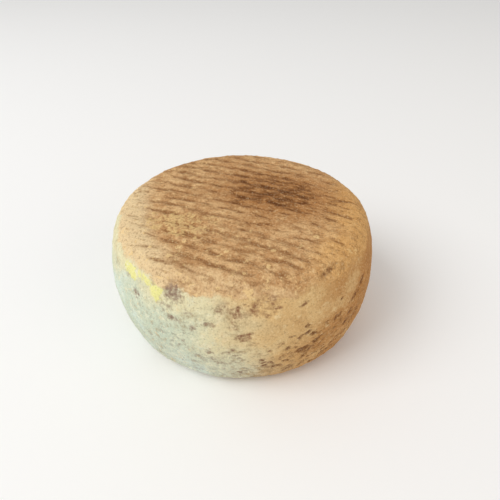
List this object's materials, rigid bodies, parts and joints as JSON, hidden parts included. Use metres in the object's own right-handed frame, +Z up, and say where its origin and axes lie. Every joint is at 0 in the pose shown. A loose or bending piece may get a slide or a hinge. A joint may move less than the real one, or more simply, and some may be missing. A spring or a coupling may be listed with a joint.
{
  "type": "cheese wheel",
  "caption": "Whole round wheel of pressed cheese with flat faces, rounded shoulders, bulging sides and a rough natural rind, for a table, shop or cellar shelf.",
  "frame": {"origin": "centre of the bottom face, on the surface that the wheel stands on", "axes": "+Z up along the wheel's axis, from the bottom face to the top face; -Y towards the side that faces the viewer, +X to the viewer's right"},
  "size_m": [0.25, 0.25, 0.114],
  "materials": {
    "natural_rind": "dry, matte, mottled natural cheese rind: tan to brown on the flat faces, cream to honey on the side"
  },
  "bodies": {
    "root": {"cheese_wheel": "natural_rind"}
  },
  "joints": []
}
